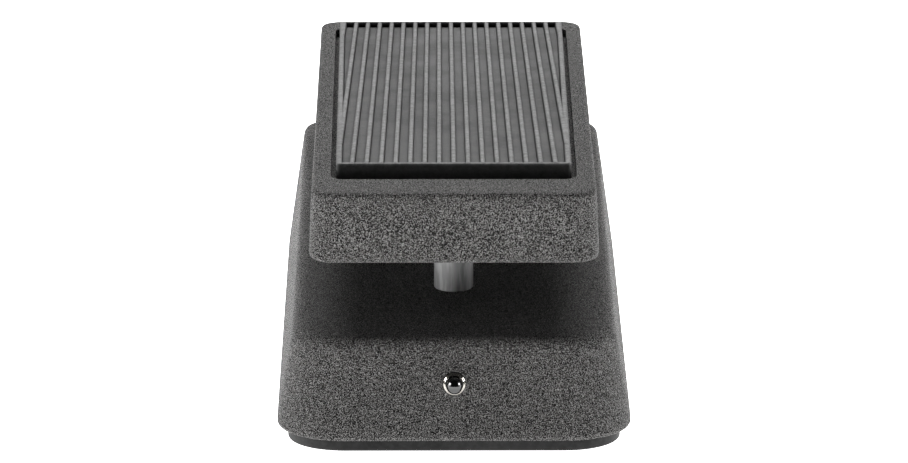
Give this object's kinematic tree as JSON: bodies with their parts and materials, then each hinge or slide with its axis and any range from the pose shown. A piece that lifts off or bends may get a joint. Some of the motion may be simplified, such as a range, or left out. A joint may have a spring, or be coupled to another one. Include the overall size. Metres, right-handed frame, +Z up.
{
  "type": "guitar effects pedal",
  "caption": "Compact rocker wah pedal: ribbed treadle on a central axle over a drafted black housing, rack and gear potentiometer drive, toe footswitch, heel lever switch.",
  "frame": {"origin": "centre of the bounding box in plan, at the underside of the rubber mat", "axes": "+Z up, +Y from the heel towards the toe where the jacks are, +X to the right of a player standing at the heel"},
  "size_m": [0.0882, 0.2108, 0.0662],
  "materials": {
    "powder_coat": "black fine-textured powder coat with a strong speckle",
    "tread_rubber": "ribbed dark grey rubber, slightly worn on the rib tops",
    "mat_rubber": "smooth matt black rubber",
    "bumper_rubber": "dark grey rubber with a slight sheen",
    "zinc_plate": "zinc-plated sheet steel",
    "steel_hardware": "bright plated steel",
    "nickel_hardware": "nickel-plated",
    "bright_chrome": "polished chrome",
    "white_nylon": "natural white nylon",
    "black_plastic": "black moulded plastic",
    "contact_metal": "plated brass",
    "board_green": "green solder-masked board",
    "ferrite": "dark ferrite",
    "capacitor_blue": "blue sleeve",
    "resistor_tan": "tan lacquer",
    "battery_case": "plain dark battery case",
    "foam": "black foam",
    "lead_red": "red insulated wire"
  },
  "bodies": {
    "housing": {"axle_bracket": "zinc_plate", "axle_bracket_screws": "steel_hardware", "axle_bushes": "white_nylon", "base_mat": "mat_rubber", "base_plate": "zinc_plate", "base_screws": "steel_hardware", "battery": "battery_case", "battery_leads": "lead_red", "battery_pad": "foam", "battery_snap": "black_plastic", "board_screws": "steel_hardware", "circuit_board": "board_green", "electrolytic_capacitors": "capacitor_blue", "film_capacitors": "capacitor_blue", "footswitch_body": "black_plastic", "footswitch_leads": "lead_red", "footswitch_nuts": "nickel_hardware", "footswitch_washer": "nickel_hardware", "friction_block": "white_nylon", "housing_casting": "powder_coat", "inductor": "ferrite", "input_jack": "black_plastic", "jack_leads": "lead_red", "jack_nuts": "nickel_hardware", "jack_washers": "nickel_hardware", "lead_headers": "black_plastic", "output_jack": "black_plastic", "pot_body": "black_plastic", "pot_bracket": "zinc_plate", "pot_bracket_screws": "steel_hardware", "pot_leads": "lead_red", "pot_nut": "nickel_hardware", "pot_washer": "nickel_hardware", "power_jack": "black_plastic", "power_jack_nut": "nickel_hardware", "power_jack_pin": "contact_metal", "rack_guide": "white_nylon", "rack_guide_screw": "steel_hardware", "resistors": "resistor_tan", "tension_screw": "steel_hardware", "transistors": "black_plastic", "voice_switch_bush": "bright_chrome", "voice_switch_case": "black_plastic", "voice_switch_leads": "lead_red", "voice_switch_nut": "nickel_hardware"},
    "treadle": {"treadle_casting": "powder_coat", "tread_pad": "tread_rubber", "heel_bumper": "bumper_rubber", "toe_pad": "bumper_rubber", "axle_pin": "steel_hardware", "axle_clips": "steel_hardware", "rack_pin": "steel_hardware"},
    "rack": {"rack": "white_nylon"},
    "pot_shaft": {"pot_shaft": "steel_hardware", "pinion": "white_nylon"},
    "footswitch_plunger": {"footswitch_plunger": "steel_hardware"},
    "voice_lever": {"voice_switch_lever": "bright_chrome"}
  },
  "joints": [
    {"name": "treadle_tilt", "type": "hinge", "parent": "housing", "child": "treadle", "pos_m": [0, 0, 0.04202], "axis": [1, 0, 0], "range_deg": [-7, 1.8]},
    {"name": "rack_slide", "type": "slide", "parent": "housing", "child": "rack", "axis": [0, -0.0661, 0.9978], "range_m": [-0.00675, 0.00174]},
    {"name": "pot_turn", "type": "hinge", "parent": "housing", "child": "pot_shaft", "pos_m": [0.023, 0.04866, 0.02039], "axis": [1, 0, 0], "range_deg": [-69, 17.8]},
    {"name": "footswitch_press", "type": "slide", "parent": "housing", "child": "footswitch_plunger", "axis": [0, 0.0661, -0.9978], "range_m": [0, 0.003], "stiffness_N_per_m": 2500, "springref_m": -0.003},
    {"name": "voice_lever_throw", "type": "hinge", "parent": "housing", "child": "voice_lever", "pos_m": [0, -0.09776, 0.01462], "axis": [0, 0.1577, 0.9875], "range_deg": [-12, 12]}
  ],
  "couplings": [
    {"joint": "rack_slide", "follows": "treadle_tilt", "m_per_rad": 0.055},
    {"joint": "pot_turn", "follows": "treadle_tilt", "ratio": 9.8214}
  ]
}
